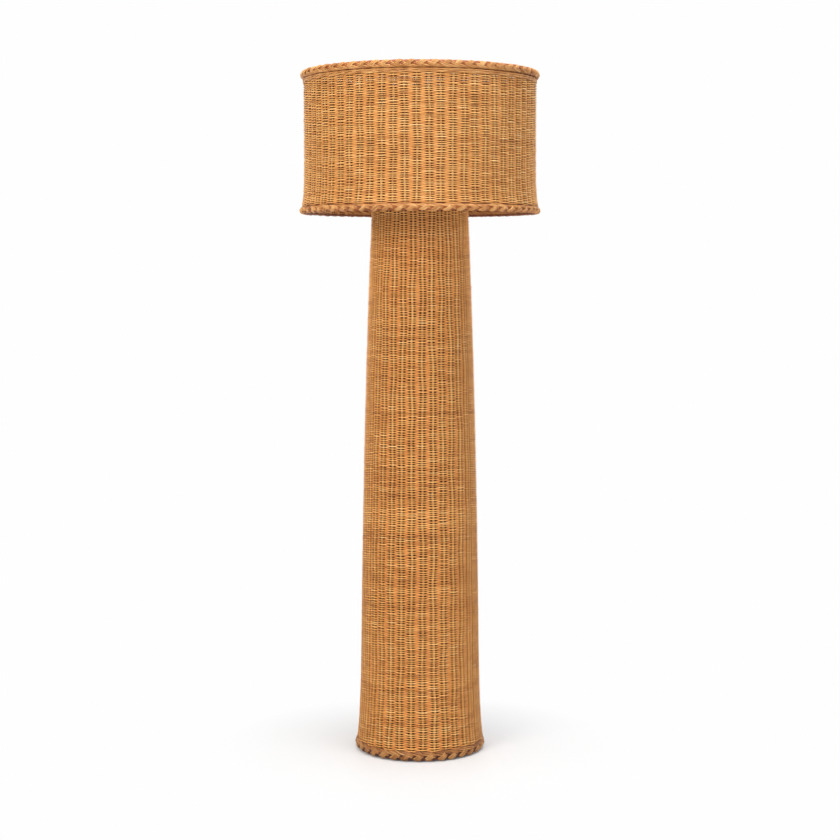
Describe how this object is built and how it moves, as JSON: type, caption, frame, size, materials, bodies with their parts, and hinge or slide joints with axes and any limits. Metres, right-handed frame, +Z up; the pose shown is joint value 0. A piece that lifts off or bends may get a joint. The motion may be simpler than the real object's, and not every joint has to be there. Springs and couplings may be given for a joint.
{
  "type": "rattan floor lamp",
  "caption": "Floor lamp with a tapering woven cane column on a plaited foot and a woven cane drum shade, carried by a metal harp over a bulb in a switched lamp holder.",
  "frame": {"origin": "on the floor under the lamp's axis, at the centre of the felt disc's underside", "axes": "+Z up along the lamp's axis; -Y is the front, where the switch knob points; +Y is the back, where the cord outlet is; the harp stands in the XZ plane"},
  "size_m": [0.543, 0.5432, 1.55],
  "materials": {
    "rattan_weave": "natural honey rattan core, woven, satin lacquer",
    "rattan_border": "natural honey rattan core, plaited, satin lacquer",
    "rattan_frame": "peeled rattan pole, matte",
    "plywood": "raw plywood",
    "cast_iron": "black stove paint on a rough casting",
    "felt": "needle felt",
    "zinc_steel": "zinc plated",
    "brass": "brass plated, satin",
    "phenolic": "moulded phenolic",
    "liner_card": "fibre board",
    "black_plastic": "moulded, fine matte",
    "opal_glass": "white coated inside",
    "bulb_metal": "pressed sheet"
  },
  "bodies": {
    "root": {"base_felt": "felt", "base_weight": "cast_iron", "base_washer": "zinc_steel", "base_nut": "zinc_steel", "foot_board": "plywood", "foot_washer": "zinc_steel", "foot_nut": "zinc_steel", "center_pipe": "zinc_steel", "frame_hoop_1": "rattan_frame", "frame_hoop_2": "rattan_frame", "frame_hoop_3": "rattan_frame", "frame_hoop_4": "rattan_frame", "frame_pole_1": "rattan_frame", "frame_pole_2": "rattan_frame", "frame_pole_3": "rattan_frame", "frame_pole_4": "rattan_frame", "top_plate": "plywood", "plate_washer": "zinc_steel", "plate_nut": "zinc_steel", "column_weave": "rattan_weave", "foot_border": "rattan_border", "column_top_border": "rattan_border", "cord_bushing": "black_plastic", "vase_cap": "brass", "neck_tube": "brass", "harp_saddle": "brass", "harp": "brass", "socket_cap": "brass", "socket_shell": "brass", "socket_liner": "liner_card", "socket_insulator": "phenolic", "screw_shell": "brass", "center_contact": "brass"},
    "shade": {"shade_carrier": "zinc_steel", "shade_bottom_hoop": "zinc_steel", "shade_weave": "rattan_weave", "shade_top_border": "rattan_border", "shade_bottom_border": "rattan_border"},
    "finial": {"finial": "brass"},
    "switch": {"switch_shaft": "brass", "switch_knob": "black_plastic"},
    "bulb": {"bulb_glass": "opal_glass", "bulb_base": "bulb_metal", "bulb_contact": "brass"},
    "ferrule_left": {"harp_ferrule_left": "brass"},
    "ferrule_right": {"harp_ferrule_right": "brass"}
  },
  "joints": [
    {"name": "shade_lift", "type": "slide", "parent": "root", "child": "shade", "axis": [0, 0, 1], "range_m": [0, 0.3]},
    {"name": "finial_turn", "type": "hinge", "parent": "shade", "child": "finial", "pos_m": [0, 0, 1.53], "axis": [0, 0, 1], "continuous": true},
    {"name": "switch_turn", "type": "hinge", "parent": "root", "child": "switch", "pos_m": [0, -0.02, 1.3242], "axis": [0, -1, 0], "continuous": true},
    {"name": "bulb_turn", "type": "hinge", "parent": "root", "child": "bulb", "pos_m": [0, 0, 1.35], "axis": [0, 0, 1], "continuous": true},
    {"name": "ferrule_left_lift", "type": "slide", "parent": "root", "child": "ferrule_left", "axis": [0, 0, 1], "range_m": [0, 0.02]},
    {"name": "ferrule_right_lift", "type": "slide", "parent": "root", "child": "ferrule_right", "axis": [0, 0, 1], "range_m": [0, 0.02]}
  ]
}
